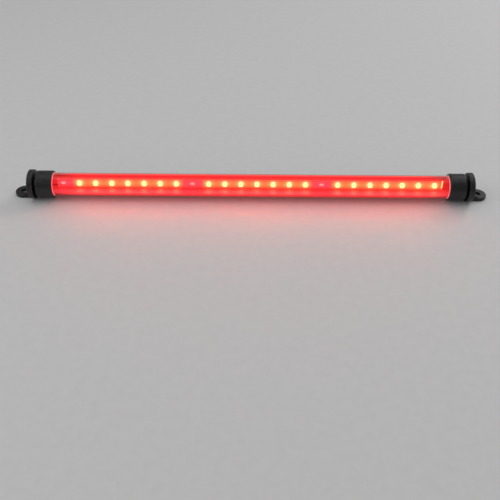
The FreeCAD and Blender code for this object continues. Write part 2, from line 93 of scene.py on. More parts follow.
# %% [markdown]
# The lights sit on a strip that is sold in segments. Each segment is eight equal cells: a resistor in
# the first, which stays dark, and a light in each of the other seven. Twenty-four places could be
# listed, but one spacing and a rule for the dark cells say the same and can't drift apart. The spacing
# is the one length here that no box gives.

# %% The row of cells
PITCH = 12.5 * MM
SEGMENTS = 3
SEGMENT_CELLS = 8
CELLS = SEGMENTS * SEGMENT_CELLS
CELL_X = BOARD_HIGH - PITCH / 2 - PITCH * np.arange(CELLS)[::-1]
UNLIT = np.arange(CELLS) % SEGMENT_CELLS == 0
LIGHT_X, RESISTOR_X = CELL_X[~UNLIT], CELL_X[UNLIT]
print("lights:", len(LIGHT_X), "resistors:", len(RESISTOR_X), "first light mm:", round(LIGHT_X[0] / MM, 2))

# %% [markdown]
# The camera comes first, because it decides how large each detail is seen. It stands in front of the
# lamp and looks down at it. It could aim straight at the lamp's middle with an empty at the target. Two
# angles say it more plainly: how steeply it looks at the lamp, and how far the lamp lies above the
# middle of the view. The field of view is a moderate one, so the lamp's ends lean outwards only a
# little.

# %% Camera
SIGHT_ELEVATION = math.radians(33.0)  # of the line from the lamp's middle to the camera
LAMP_ABOVE_AIM = math.radians(5.41)  # how far the lamp is above the middle of the view
ROLL = math.radians(0.45)
LAMP_DISTANCE = 0.5305
CAMERA_X = -0.3 * MM
SENSOR_WIDTH, FOCAL_LENGTH = 36.0, 48.96  # in millimetres, as a lens is named
camera_data = bpy.data.cameras.new("camera")
camera_data.sensor_width = SENSOR_WIDTH
camera_data.lens = FOCAL_LENGTH
camera_data.clip_start = 0.01
camera = bpy.data.objects.new("camera", camera_data)
bpy.context.scene.collection.objects.link(camera)
camera.location = (
    CAMERA_X,
    AXIS_Y - LAMP_DISTANCE * math.cos(SIGHT_ELEVATION),
    AXIS_Z + LAMP_DISTANCE * math.sin(SIGHT_ELEVATION),
)
camera.rotation_euler = (math.pi / 2 - SIGHT_ELEVATION - LAMP_ABOVE_AIM, 0, 0)
camera.rotation_euler.rotate_axis("Z", ROLL)
bpy.context.scene.camera = camera
print("camera at mm:", [round(value / MM, 1) for value in camera.location])

# %% [markdown]
# A new piece here is a surface: a grid of points worked out from two numbers, u and v. It could also be
# pushed into shape from a cylinder with modifiers, but a formula gives the real measures at once and
# follows the frame when it changes. Where a grid closes on itself the last row is joined to the first,
# and where it shrinks to a point the doubles are merged. That makes closed skins with their faces
# outwards, which shade well and can be measured.


# %% From a grid to a mesh
def grid_faces(rows, columns, wrap_rows, wrap_columns):
    """Quads of a grid: each point with its neighbours in the next row and column, and round the ends
    where the grid wraps."""
    row = np.arange(rows if wrap_rows else rows - 1)
    column = np.arange(columns if wrap_columns else columns - 1)
    r, c = (a.ravel() for a in np.meshgrid(row, column, indexing="ij"))
    r2, c2 = (r + 1) % rows, (c + 1) % columns
    corners = ((r, c), (r2, c), (r2, c2), (r, c2))
    return np.stack([down * columns + across for down, across in corners], axis=1)


DOUBLE = 1e-7  # metres: points nearer than this are one point
SLIVER = 1e-8


def finish_mesh(name, points, faces, smooth_angle=40.0):
    """Puts points and quads into a mesh object, merges doubles, turns faces outwards and shades it."""
    mesh = bpy.data.meshes.new(name)
    mesh.from_pydata(points.reshape(-1, 3).tolist(), [], faces.tolist())
    build = bmesh.new()
    build.from_mesh(mesh)
    bmesh.ops.remove_doubles(build, verts=build.verts, dist=DOUBLE)
    bmesh.ops.dissolve_degenerate(build, edges=build.edges, dist=SLIVER)
    bmesh.ops.recalc_face_normals(build, faces=build.faces)
    build.to_mesh(mesh)
    build.free()
    mesh.shade_smooth()
    mesh.set_sharp_from_angle(angle=math.radians(smooth_angle))
    piece = bpy.data.objects.new(name, mesh)
    bpy.context.scene.collection.objects.link(piece)
    return piece


print("surface helpers ready")

# %% [markdown]
# A finish is a small network of nodes. They could be placed by hand in the Shader Editor, or made in
# code with one call and one link at a time, which hides what is being worked out. Sums are easier to
# read as sums, so a thin class wraps a socket and turns +, -, * and / into Math nodes.


# %% Values in a finish
class Value:
    """A socket that can be used in sums."""

    def __init__(self, finish, socket):
        self.finish = finish
        self.socket = socket

    def math(self, operation, *others, clamp=False):
        """A Math node on this value and the others, in their order."""
        settings = {"operation": operation, "use_clamp": clamp}
        return self.finish.node("ShaderNodeMath", settings, dict(enumerate((self,) + others)))

    def __add__(self, other):
        return self.math("ADD", other)

    __radd__ = __add__

    def __mul__(self, other):
        return self.math("MULTIPLY", other)

    __rmul__ = __mul__

    def __sub__(self, other):
        return self.math("SUBTRACT", other)

    def __rsub__(self, other):
        return (self * -1.0) + other

    def __truediv__(self, other):
        return self.math("DIVIDE", other)

    def __pow__(self, other):
        return self.math("POWER", other)

    def clamped(self):
        """Kept between 0 and 1."""
        return self.math("ADD", 0.0, clamp=True)

    def step(self, low, high):
        """0 at low, 1 at high and smooth between. It falls instead where low is above high."""
        inputs = {"Value": self, "From Min": low, "From Max": high, "To Min": 0.0, "To Max": 1.0}
        settings = {"interpolation_type": "SMOOTHSTEP"}
        return self.finish.node("ShaderNodeMapRange", settings, inputs)


def length(a, b):
    """Length of a line that goes a one way and b square to it."""
    return (a ** 2.0 + b ** 2.0) ** 0.5


print("values ready")

# %% [markdown]
# The second class is the material under construction. Every node that isn't a sum comes from one
# method, which sets the node's settings first and then its inputs, because some sockets appear only
# once a setting is made. The short methods after it name what this lamp's finishes need. All of them
# read Object coordinates, which are the frame's own metres, so a pattern keeps its real size on every
# piece and stays put when the lamp tilts.


# %% A finish under construction
class Finish:
    """A material under construction."""

    def __init__(self, name):
        self.material = bpy.data.materials.new(name)
        self.material.use_nodes = True
        self.tree = self.material.node_tree
        self.tree.nodes.clear()

    def node(self, kind, settings=None, inputs=None, output=0):
        """Adds a node, gives it its settings and then its inputs, and returns one of its outputs."""
        made = self.tree.nodes.new(kind)
        for key, setting in (settings or {}).items():
            setattr(made, key, setting)
        for key, given in (inputs or {}).items():
            socket = made.inputs[key]
            if isinstance(given, Value):
                self.tree.links.new(given.socket, socket)
            else:
                socket.default_value = given
        return Value(self, made.outputs[output])

    def place(self):
        """Object coordinates, which are the frame's own metres."""
        return self.node("ShaderNodeTexCoord", output="Object")

    def axes(self, vector=None):
        """The three coordinates as separate values."""
        vector = vector or self.place()
        split = self.node("ShaderNodeSeparateXYZ", inputs={"Vector": vector}).socket.node
        return [Value(self, socket) for socket in split.outputs]

    def stretched(self, scale):
        """Object coordinates multiplied by a scale for each axis."""
        return self.node("ShaderNodeMapping", inputs={"Vector": self.place(), "Scale": scale})

    def noise(self, scale, detail=3.0, vector=None):
        """Soft patches from 0 to 1. scale is how many there are in a metre."""
        inputs = {"Vector": vector or self.place(), "Scale": scale, "Detail": detail, "Roughness": 0.55}
        return self.node("ShaderNodeTexNoise", inputs=inputs)

    def cells(self, scale, feature="F1"):
        """Distance in a pattern of cells, from their middles or, with DISTANCE_TO_EDGE, their edges."""
        inputs = {"Vector": self.place(), "Scale": scale}
        return self.node("ShaderNodeTexVoronoi", {"feature": feature}, inputs)

    def mix(self, factor, first, second):
        """A colour between two colours."""
        settings = {"data_type": "RGBA"}
        return self.node("ShaderNodeMix", settings, {0: factor, 6: first, 7: second}, output=2)

    def scaled(self, colour, strength):
        """A colour made brighter or darker."""
        return self.node("ShaderNodeVectorMath", {"operation": "SCALE"}, {0: colour, "Scale": strength})

    def bump(self, height, distance, normal=None):
        """Relief: height is 0 to 1 and distance its depth in metres. normal is the relief it lies on."""
        inputs = {"Height": height, "Distance": distance, "Strength": 1.0}
        if normal is not None:
            inputs["Normal"] = normal
        return self.node("ShaderNodeBump", inputs=inputs)

    def surface(self, **inputs):
        """The main shader. Names are its sockets' names with _ for a space."""
        named = {key.replace("_", " "): given for key, given in inputs.items()}
        return self.node("ShaderNodeBsdfPrincipled", inputs=named)

    def done(self, shader):
        """Links the finished shader to the material's output."""
        output = self.tree.nodes.new("ShaderNodeOutputMaterial")
        self.tree.links.new(shader.socket, output.inputs["Surface"])
        return self.material


def grey(level):
    return (level, level, level, 1.0)


print("finish helpers ready")

# %% [markdown]
# The feet, the caps and the rear cover are black moulded plastic. A dark colour with one roughness
# would do at a distance, but real mouldings never shine evenly. Spark-eroded moulds leave a very fine
# grain, which shows only in the way highlights break up, so it is a small bump and not geometry. Over
# it lie slow changes of gloss from handling, a few pale scuffs, edges that are rubbed paler, and dust
# on whatever faces up.


# %% Moulded plastic
def upward(finish):
    """How far a face looks up, from 0 to 1: dust settles there."""
    normal = finish.node("ShaderNodeNewGeometry", output="Normal")
    return finish.axes(normal)[2].clamped()


def moulded(name, level, gloss, grain, dust, rim=None):
    """Black plastic. level is its lightness, gloss its roughness and grain the depth of its texture in
    metres. The two halves of the mould met at the axis's height, where a hair of plastic stands proud. rim is
    (radius, distances from the middle) of round edges, which handling has rubbed paler."""
    f = Finish(name)
    x, y, z = f.axes()
    seam = (z - AXIS_Z).math("ABSOLUTE").step(0.09 * MM, 0.03 * MM)
    worn = seam * 0.25
    if rim:
        rim_radius, edges = rim
        near_rim = length(y - AXIS_Y, z - AXIS_Z).step(rim_radius - 0.9 * MM, rim_radius - 0.15 * MM)
        for edge in edges:
            near_edge = (x.math("ABSOLUTE") - edge).math("ABSOLUTE").step(0.75 * MM, 0.05 * MM)
            worn = worn + near_rim * near_edge
    worn = (worn * f.noise(420.0, 4.0).step(0.40, 0.72)).clamped()
    patches = f.noise(90.0)
    fine = f.noise(2600.0, 2.0)
    scuffs = f.noise(700.0, 4.0, f.stretched((0.12, 1.0, 1.0))).step(0.64, 0.74)
    dusty = (upward(f).step(0.35, 1.0) * f.noise(320.0, 4.0).step(0.42, 0.75) * dust).clamped()
    base = f.mix(patches.step(0.3, 0.75), grey(level), grey(level * 2.2))
    base = f.mix(scuffs * 0.45, base, grey(0.09))
    base = f.mix(worn * 0.7, base, grey(0.11))
    base = f.mix(dusty * 0.22, base, (0.30, 0.28, 0.26, 1.0))
    rough = (gloss + (patches - 0.5) * 0.30 + scuffs * 0.14 - worn * 0.12 + dusty * 0.25).clamped()
    normal = f.bump(seam, 0.00004, f.bump(fine, grain, f.bump(patches, grain * 6)))
    return f.done(f.surface(Base_Color=base, Roughness=rough, Normal=normal, IOR=1.52))


FOOT_EDGES = (span("right_foot", 0)[0], span("right_pivot_screw", 0)[1])
CAP_EDGES = (CAP_FACE, CAP_BACK)
FOOT_FINISH = moulded("foot_plastic_finish", 0.006, 0.40, 0.000015, 0.4, (AXIS_Z, FOOT_EDGES))
CAP_FINISH = moulded("cap_plastic_finish", 0.005, 0.34, 0.000012, 0.35, (CAP_RADIUS, CAP_EDGES))
COVER_FINISH = moulded("cover_plastic_finish", 0.008, 0.46, 0.00002, 0.4)
print("plastics:", FOOT_FINISH.name, CAP_FINISH.name, COVER_FINISH.name)

# %% [markdown]
# Rubber is darker and duller than plastic, with a bloom that turns it grey in patches. The foam tape
# under the rear cover is open cells. Holes modelled one by one would be thousands of faces on a strip
# that hardly shows, so a Voronoi pattern gives them as bump, and painted shade darkens the hollow of
# each cell. Wire insulation is smooth and a little waxy. Since the wires lie inside the lit tube, a
# painted red glow, an emission, stands in for the tube's red light falling on them.


# %% Rubber, foam and insulation
def rubbery(name, colour, gloss=0.62, bloom=0.5, glow=0.0):
    """A dull skin with a grey bloom in patches. glow is a painted red emission: the tube's light on it."""
    f = Finish(name)
    patches = f.noise(240.0, 4.0)
    bloomed = tuple(part * 0.6 + 0.035 for part in colour)
    base = f.mix(patches.step(0.45, 0.8) * bloom, colour + (1.0,), bloomed + (1.0,))
    rough = (gloss + (patches - 0.5) * 0.3).clamped()
    # Painted light: the red emission stands in for the tube's light falling on the wire.
    return f.done(f.surface(
        Base_Color=base, Roughness=rough, Normal=f.bump(f.noise(3200.0), 0.000008), IOR=1.5,
        Emission_Color=(1.0, 0.02, 0.03, 1.0), Emission_Strength=glow,
    ))


def foam(name):
    """Dark open cells with painted shade in their hollows, paler at their edges."""
    f = Finish(name)
    cell = f.cells(2400.0)
    # Painted shade: the colour is darkest in the middle of each cell, where the bump is lowest.
    base = f.mix(cell.step(0.1, 0.7), grey(0.012), grey(0.05))
    return f.done(f.surface(Base_Color=base, Roughness=0.92, Normal=f.bump(cell, 0.00008)))


RUBBER = rubbery("rubber_finish", (0.016, 0.016, 0.017))
RED_WIRE = rubbery("red_wire_finish", (0.42, 0.012, 0.010), 0.36, 0.15, 0.35)
BLACK_WIRE = rubbery("black_wire_finish", (0.012, 0.012, 0.013), 0.34, 0.15, 0.22)
FOAM = foam("foam_tape_finish")
print("soft finishes made")

# %% [markdown]
# Screws and inserts are turned on a lathe, which leaves rings round their axis. An anisotropic shader
# can imitate that, but a model baked for another program loses it. A noise that reads only the distance
# from the axis gives rings that survive in colour, gloss and bump.


# %% Metals
def turned_metal(name, colour, rough):
    """Plated metal with rings about the lamp's axis: they read the radius, and change slowly along X."""
    f = Finish(name)
    x, y, z = f.axes()
    radius = length(y - AXIS_Y, z - AXIS_Z)
    where = f.node("ShaderNodeCombineXYZ", inputs={"X": radius * 9000.0, "Y": x * 2500.0})
    rings = f.noise(1.0, 2.0, where)
    stain = f.noise(380.0, 4.0).step(0.5, 0.8)
    stained = tuple(part * 0.55 for part in colour)
    base = f.mix(stain * 0.6, colour + (1.0,), stained + (1.0,))
    gloss = (rough + (rings - 0.5) * 0.25 + stain * 0.2).clamped()
    return f.done(f.surface(Base_Color=base, Metallic=1.0, Roughness=gloss, Normal=f.bump(rings, 0.000012)))


STEEL = turned_metal("steel_finish", (0.56, 0.57, 0.58), 0.30)
BRASS = turned_metal("brass_finish", (0.78, 0.56, 0.24), 0.28)
print("metals:", STEEL.name, BRASS.name)

# %% [markdown]
# The board and what lies near it glow with the row's light. Real light from 21 tiny lamps could be
# traced, but it is weak beside a bright studio and very noisy inside a tube. So the glow is worked out
# from the distance to the nearest light, and for that each point has to know its place in the row. The
# row repeats, so the fraction of x divided by the spacing tells it.

# %% Where a point lies in the row
GLOW_REACH = 3.3 * MM


def row_places(f):
    """Height above the row, distance along it from the middle of the nearest cell, and how lit that place is:
    0 in the middle of a cell with a resistor, and 1 from about a cell away."""
    x, _, z = f.axes()
    across = (x - (CELL_X[0] - PITCH / 2)) / PITCH
    offset = (across.math("FRACT") - 0.5) * PITCH
    segment = (across / SEGMENT_CELLS + (0.5 - 0.5 / SEGMENT_CELLS)).math("FRACT")
    from_resistor = segment * SEGMENT_CELLS - 0.5 * SEGMENT_CELLS
    lit = from_resistor.math("ABSOLUTE").step(0.48, 0.80)
    return z - AXIS_Z, offset, lit


print("glow reach mm:", round(GLOW_REACH / MM, 2))

# %% [markdown]
# The board is seen through the red tube, so its colours arrive redder than they are. White solder mask
# covers copper that shows as slightly darker bands. One even emission would turn it into a flat bar of
# light. Instead the colour runs from pink in the dark cells through orange between the lights to nearly
# white around each of them. Both cut ends shine as well, because glass fibre carries light to its
# edges.

# %% Board finish
DARK_CELL_GLOW, ROW_GLOW = (1.0, 0.30, 0.62, 1.0), (1.0, 0.62, 0.17, 1.0)
HALO_GLOW, BLOOM_GLOW = (1.0, 0.72, 0.26, 1.0), (1.0, 0.88, 0.70, 1.0)
START_GLOW, END_GLOW = (1.0, 0.20, 0.42, 1.0), (1.0, 0.75, 0.14, 1.0)


def board_finish():
    """Three glows add up: a wash over the whole row, a halo that falls off with the distance from a light,
    and a bloom close round it. The two cut ends come on top."""
    f = Finish("board_finish")
    x = f.axes()[0]
    up, offset, lit = row_places(f)
    distance = length(offset, up)
    along, across = offset / (4.2 * GLOW_REACH), up / (0.92 * GLOW_REACH)
    wash = (along ** 2.0 * -1.0 - across ** 2.0).math("EXPONENT") * (lit * 0.9 + 0.75)
    halo = (distance / (-0.45 * GLOW_REACH)).math("EXPONENT") * lit
    bloom = distance.step(2.5 * MM, 1.6 * MM) * lit
    end = x.step(BOARD_HIGH - 1.6 * MM, BOARD_HIGH - 0.4 * MM) * up.step(-4.4 * MM, -1.0 * MM)
    start = x.step(BOARD_LOW + 1.3 * MM, BOARD_LOW + 0.3 * MM)
    glow = f.mix(lit, DARK_CELL_GLOW, ROW_GLOW)
    for share, colour in ((halo, HALO_GLOW), (bloom, BLOOM_GLOW), (end, END_GLOW), (start, START_GLOW)):
        glow = f.mix(share, glow, colour)
    strength = wash * 1.05 + halo * 3.2 + bloom * 5.0 + end * 6.0 + start * 1.5 + 0.12
    speckle = f.noise(1500.0)
    tracks = (up.math("ABSOLUTE") - 2.9 * MM).math("ABSOLUTE").step(0.45 * MM, 0.35 * MM)
    mask = f.mix(speckle.step(0.3, 0.8) * 0.25, (0.80, 0.78, 0.72, 1.0), (0.62, 0.60, 0.54, 1.0))
    mask = f.mix(tracks * 0.35, mask, (0.55, 0.46, 0.32, 1.0))
    return f.done(f.surface(
        Base_Color=mask, Roughness=(speckle * 0.2 + 0.3).clamped(),
        Normal=f.bump(tracks + speckle * 0.2, 0.00003),
        Emission_Color=f.scaled(glow, strength), Emission_Strength=1.0,
    ))


BOARD = board_finish()
print("board:", BOARD.name)

# %% [markdown]
# The carrier is an aluminium extrusion behind and under the board. Its ledge in front of the board
# sends the row's light back, so it shows as a pale pink band with a brighter patch under each light.
# Reflections alone could make that, but they need far more samples than a render has to spare, so the
# ledge glows a little. Being drawn through a die leaves streaks along the metal, which are a noise
# squeezed along X.


# %% Carrier finish
def carrier_finish():
    """Streaked metal. The glow is only on the ledge and the plate's front, and turns from red to pink towards
    the ledge's lip."""
    f = Finish("carrier_finish")
    up, offset, lit = row_places(f)
    forward = f.axes()[1] * -1.0 + BOARD_FRONT
    front = forward.step(2.8 * MM, 5.0 * MM)
    # Painted shadow: the ledge's glow is a little dimmer next to the board's front.
    shadow = forward.step(3.0 * MM, 0.3 * MM)
    under = (offset.math("ABSOLUTE") / (-0.9 * MM)).math("EXPONENT") * lit
    shown = forward.step(-1.3 * MM, -1.1 * MM) * up.step(-4.3 * MM, -4.05 * MM)
    strength = shown * (lit * 0.2 + 0.62 + under * 0.7 * front - shadow * 0.1)
    glow = f.mix(front, (1.0, 0.0, 0.02, 1.0), (1.0, 0.22, 0.50, 1.0))
    streaks = f.noise(2200.0, 3.0, f.stretched((0.005, 1.0, 1.0)))
    base = f.mix(streaks.step(0.35, 0.7), (0.26, 0.255, 0.25, 1.0), (0.18, 0.18, 0.175, 1.0))
    return f.done(f.surface(
        Base_Color=base, Metallic=1.0, Roughness=(streaks * 0.2 + 0.55).clamped(),
        Normal=f.bump(streaks, 0.00001),
        Emission_Color=f.scaled(glow, strength), Emission_Strength=1.0,
    ))


CARRIER = carrier_finish()
print("carrier:", CARRIER.name)

# %% [markdown]
# Each light is a small white housing with a dished cup full of clear resin. The chip under the resin is
# far too bright for a camera. A small area lamp in each cup would be truer but noisy, so the resin
# itself shines: its middle is nearly white and only the edge keeps its red. The housing glows as well,
# because its white plastic lets light through.


# %% Finishes of the lights
def light_finish():
    """Clear resin over a bright chip: a little dimmer and redder towards the edge, under a hard gloss."""
    f = Finish("light_finish")
    up, offset, _ = row_places(f)
    edge = length(offset, up).step(0.5 * MM, 1.5 * MM)
    colour = f.mix(edge, (1.0, 0.32, 0.084, 1.0), (1.0, 0.30, 0.078, 1.0))
    strength = 75.0 - edge * 15.0
    grain = f.noise(2500.0, 2.0)
    return f.done(f.surface(
        Base_Color=(0.95, 0.62, 0.38, 1.0), Roughness=(grain * 0.1 + 0.1).clamped(),
        Emission_Color=f.scaled(colour, strength), Emission_Strength=1.0,
        Coat_Weight=0.6, Coat_Roughness=0.08,
    ))


def housing_finish():
    """White plastic whose glow fades away from the cup."""
    f = Finish("housing_finish")
    up, offset, _ = row_places(f)
    near = (length(offset, up) / (-1.6 * MM)).math("EXPONENT")
    grain = f.noise(2200.0)
    base = f.mix(grain.step(0.35, 0.75) * 0.3, (0.86, 0.84, 0.78, 1.0), (0.70, 0.66, 0.58, 1.0))
    colour = f.mix(near, (1.0, 0.60, 0.33, 1.0), (1.0, 0.76, 0.45, 1.0))
    return f.done(f.surface(
        Base_Color=base, Roughness=(grain * 0.15 + 0.35).clamped(), Normal=f.bump(grain, 0.000006),
        Emission_Color=f.scaled(colour, near * 12.5 + 3.2), Emission_Strength=1.0,
    ))


LIGHT = light_finish()
HOUSING = housing_finish()
print("lights:", LIGHT.name, HOUSING.name)

# %% [markdown]
# The resistors are pale ceramic with a printed film on the face and tinned ends. Three materials on
# three meshes could show that, but one finish can tell them apart by the distance from the middle of
# the cell, and the chip stays one piece. An even pale emission is painted light on the chip, for the
# row's light falling on it. Solder is bright metal with a slightly crazed skin, here with a painted
# red glow, an even emission that stands in for the row's red light on it.


# %% Finishes of the small parts
def resistor_finish():
    """Metal beyond the ceramic's ends, and a darker film on the face between them."""
    f = Finish("resistor_finish")
    _, offset, _ = row_places(f)
    tinned = offset.math("ABSOLUTE").step(1.10 * MM, 1.18 * MM)
    film = f.axes()[1].step(BOARD_FRONT - 0.50 * MM, BOARD_FRONT - 0.56 * MM)
    grain = f.noise(2600.0)
    base = f.mix(film * (1.0 - tinned) * 0.45, (0.84, 0.82, 0.79, 1.0), (0.50, 0.44, 0.42, 1.0))
    base = f.mix(tinned, base, (0.74, 0.74, 0.72, 1.0))
    # Painted light: an even pale emission stands in for the row's light falling on the chip.
    return f.done(f.surface(
        Base_Color=base, Metallic=tinned, Roughness=(grain * 0.25 + 0.25).clamped(),
        Normal=f.bump(grain, 0.00001),
        Emission_Color=(1.0, 0.80, 1.0, 1.0), Emission_Strength=1.9,
    ))


def solder_finish():
    """Shiny metal with duller patches, and fine cracks where it set."""
    f = Finish("solder_finish")
    craze = f.cells(2600.0, "DISTANCE_TO_EDGE")
    dull = f.noise(900.0, 4.0)
    base = f.mix(dull.step(0.4, 0.8) * 0.7, (0.76, 0.76, 0.75, 1.0), (0.48, 0.48, 0.47, 1.0))
    # Painted light: an even red emission stands in for the row's light falling on the solder.
    return f.done(f.surface(
        Base_Color=base, Metallic=1.0, Roughness=(dull * 0.35 + 0.12).clamped(),
        Normal=f.bump(craze, 0.00001),
        Emission_Color=(1.0, 0.10, 0.14, 1.0), Emission_Strength=0.5,
    ))


RESISTOR = resistor_finish()
SOLDER = solder_finish()
print("small parts:", RESISTOR.name, SOLDER.name)

# %% [markdown]
# The tube is clear red acrylic, drawn through a die, so it has very faint lines along its length. Plain
# glass in a path tracer bends the view correctly but lets a lamp's light through only by luck, which is
# noisy. A thin see-through shader is quiet but bends nothing. So rays that carry light, the shadow
# rays, see a plain red filter, and rays that carry the view see real refraction. A faint red haze in
# the wall stands for the light that the acrylic scatters.

# %% Lens finish
LIT_LENGTH = LIGHT_X[-1] - LIGHT_X[0] + PITCH


def lens_finish():
    """Red acrylic. Its haze fades past the ends of the lit row and towards the bottom of the tube."""
    f = Finish("lens_finish")
    x, _, z = f.axes()
    lines = f.noise(1400.0, 2.0, f.stretched((0.004, 1.0, 1.0)))
    specks = f.noise(420.0, 4.0).step(0.66, 0.8)
    tint = f.mix(specks * 0.25, (0.98, 0.20, 0.155, 1.0), (0.94, 0.24, 0.19, 1.0))
    lit_length = x.math("ABSOLUTE").step(0.5 * LIT_LENGTH + 8 * MM, 0.5 * LIT_LENGTH - 14 * MM)
    above_rim = (z - AXIS_Z).step(-0.95 * LENS_RADIUS, -0.55 * LENS_RADIUS)
    haze = (lit_length * 0.7 + 0.3) * (lines * 0.3 + 0.85) * (above_rim * 0.8 + 0.2)
    glass = f.surface(
        Base_Color=tint, Roughness=(specks * 0.10 + 0.015).clamped(), Normal=f.bump(lines, 0.0000004),
        Transmission_Weight=1.0, IOR=1.49, Specular_IOR_Level=0.22,
        Emission_Color=f.scaled((1.0, 0.004, 0.016), haze * 0.26), Emission_Strength=1.0,
    )
    filtered = f.node("ShaderNodeBsdfTransparent", inputs={"Color": (0.99, 0.45, 0.39, 1.0)})
    carries_light = f.node("ShaderNodeLightPath", output="Is Shadow Ray")
    return f.done(f.node("ShaderNodeMixShader", inputs={0: carries_light, 1: glass, 2: filtered}))


LENS = lens_finish()
print("lens:", LENS.name, "lit length mm:", round(LIT_LENGTH / MM, 1))

# %% [markdown]
# Many frame pieces already have the right shape: feet, caps, seals, inserts, small screws, carrier and
# gland. They could be rebuilt here too, but a second copy of a good shape only adds a chance of error.
# They keep their mesh and get these finishes by the slot they were given.

# %% Finishes on the frame's own pieces
BY_SLOT = {
    "foot_plastic": FOOT_FINISH,
    "cap_plastic": CAP_FINISH,
    "cover_plastic": COVER_FINISH,
    "rubber": RUBBER,
    "steel": STEEL,
    "brass": BRASS,
    "lens": LENS,
    "carrier_metal": CARRIER,
    "board": BOARD,
    "package": HOUSING,
    "light": LIGHT,
    "ceramic": RESISTOR,
    "solder": SOLDER,
    "red_insulation": RED_WIRE,
    "black_insulation": BLACK_WIRE,
    "foam_tape": FOAM,
}
for node in frame["nodes"].values():
    for place in node.material_slots:
        place.material = BY_SLOT[place.material.name]
print("finished", len(frame["nodes"]), "frame pieces")

# %% [markdown]
# Every new piece needs a finish, a body to ride on and, where it is a finer version of a frame piece,
# the piece that it stands for, which is hidden. The calls could be written out each time, but one
# helper keeps them together and prints the size, so that a slip in scale shows at once.


# %% Settling a new piece
def settle(piece, finish, slot, body, *nodes):
    """Gives a new piece its finish and its body, and hides the frame pieces it stands for. slot is not used.
    """
    piece.data.materials.append(finish)
    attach(piece, body)
    if nodes:
        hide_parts(*nodes)
    size = np.ptp(np.array(piece.bound_box), axis=0)
    print(piece.name, "mm:", np.round(size / MM, 2), "faces:", len(piece.data.polygons))


print("ready to settle pieces")

# %% [markdown]
# The tube is a wall 1.2 mm thick. It could be a cylinder with a Solidify modifier, but that leaves
# sharp rims that catch no light. Instead a closed outline of the wall, with its corners eased, is
# turned round the lamp's axis, which makes the outside, the inside and both rims at once. Many steps
# keep the highlight along it straight.


# %% Outlines and turning
def rounded(corners, radius, steps=5):
    """A closed outline with eased corners. Each corner is cut back by the radius along both its sides, and a
    parabola that the corner pulls on bends from one cut point to the other."""
    corners = np.asarray(corners, float)
    before, after = np.roll(corners, 1, axis=0), np.roll(corners, -1, axis=0)
    back, forth = before - corners, after - corners
    back_length = np.linalg.norm(back, axis=1, keepdims=True)
    forth_length = np.linalg.norm(forth, axis=1, keepdims=True)
    start = corners + back / back_length * np.minimum(radius, 0.45 * back_length)
    end = corners + forth / forth_length * np.minimum(radius, 0.45 * forth_length)
    t = np.linspace(0, 1, steps)[None, :, None]
    pull = 2 * t * (1 - t)
    bend = (1 - t) ** 2 * start[:, None] + pull * corners[:, None] + t ** 2 * end[:, None]
    return bend.reshape(-1, 2)


def turned(outline, steps):
    """A closed outline of (x, radius) pairs turned once round the lamp's axis. The point at angle v is x
    along the axis and radius times the cosine and the sine of v across it."""
    outline = np.asarray(outline, float)
    v = np.linspace(0, 2 * np.pi, steps, endpoint=False)
    x, radius = np.broadcast_to(outline[:, :1], (len(outline), steps)), outline[:, 1:]
    points = np.stack([x, AXIS_Y + radius * np.cos(v), AXIS_Z + radius * np.sin(v)], axis=-1)
    return points.reshape(-1, 3), grid_faces(len(outline), steps, True, True)


print("turning ready")

# %% Lens tube
WALL = 1.2 * MM
RIM_EASE = 0.3 * MM
LENS_STEPS = 192
LENS_BORE = LENS_RADIUS - WALL
wall_corners = [
    (LENS_LOW, LENS_BORE), (LENS_LOW, LENS_RADIUS), (LENS_HIGH, LENS_RADIUS), (LENS_HIGH, LENS_BORE),
]
lens = finish_mesh("lens", *turned(rounded(wall_corners, RIM_EASE), LENS_STEPS))
settle(lens, LENS, "lens", "lamp", "lens_tube")

# %% [markdown]
# Small things on the board repeat: 21 lights and 3 resistors. An Array modifier repeats at one spacing
# only, and the row has gaps. So a part is kept as its points and faces, and is repeated by adding each
# place to its points. The simplest such part is a soft block, an ellipsoid that is filled out towards
# its corners.


# %% Parts made once and repeated
def joined(parts):
    """Several (points, faces) pairs as one."""
    start = np.cumsum([0] + [len(points) for points, _ in parts[:-1]])
    points = np.concatenate([points for points, _ in parts])
    faces = np.concatenate([faces + offset for (_, faces), offset in zip(parts, start)])
    return points, faces


def shifted(part, place):
    """(points, faces) moved by place."""
    points, faces = part
    return points + np.asarray(place), faces


def repeated(part, places):
    """The same (points, faces) at each of the given places."""
    return joined([shifted(part, place) for place in places])


def pillow(size, square, rings=12, steps=24):
    """A block with soft edges: an ellipsoid whose sines and cosines are raised to the small power square, so
    that it fills its box."""
    u = np.linspace(-np.pi / 2, np.pi / 2, rings)[:, None]
    v = np.linspace(0, 2 * np.pi, steps, endpoint=False)[None, :]

    def power(value):
        return np.sign(value) * np.abs(value) ** square

    x = power(np.cos(u)) * power(np.cos(v)) * size[0] / 2
    y = power(np.cos(u)) * power(np.sin(v)) * size[1] / 2
    z = np.broadcast_to(power(np.sin(u)) * size[2] / 2, x.shape)
    return np.stack([x, y, z], axis=-1).reshape(-1, 3), grid_faces(rings, steps, False, True)


print("repeating ready")

# %% [markdown]
# A light's housing is square outside and round inside. A cube with its cup cut by a Boolean would have
# long thin faces that shade badly. A grid can do it cleanly: its rows change from a rounded square to a
# circle as it climbs the side, crosses the rim and goes down the cup. On each side a flat metal leg is
# soldered to the board.


# %% Light housings
def squarish(v, power=5.0):
    """Distance in direction v to the edge of a rounded square of half width 1 (a superellipse)."""
    return 1 / (np.abs(np.cos(v)) ** power + np.abs(np.sin(v)) ** power) ** (1 / power)


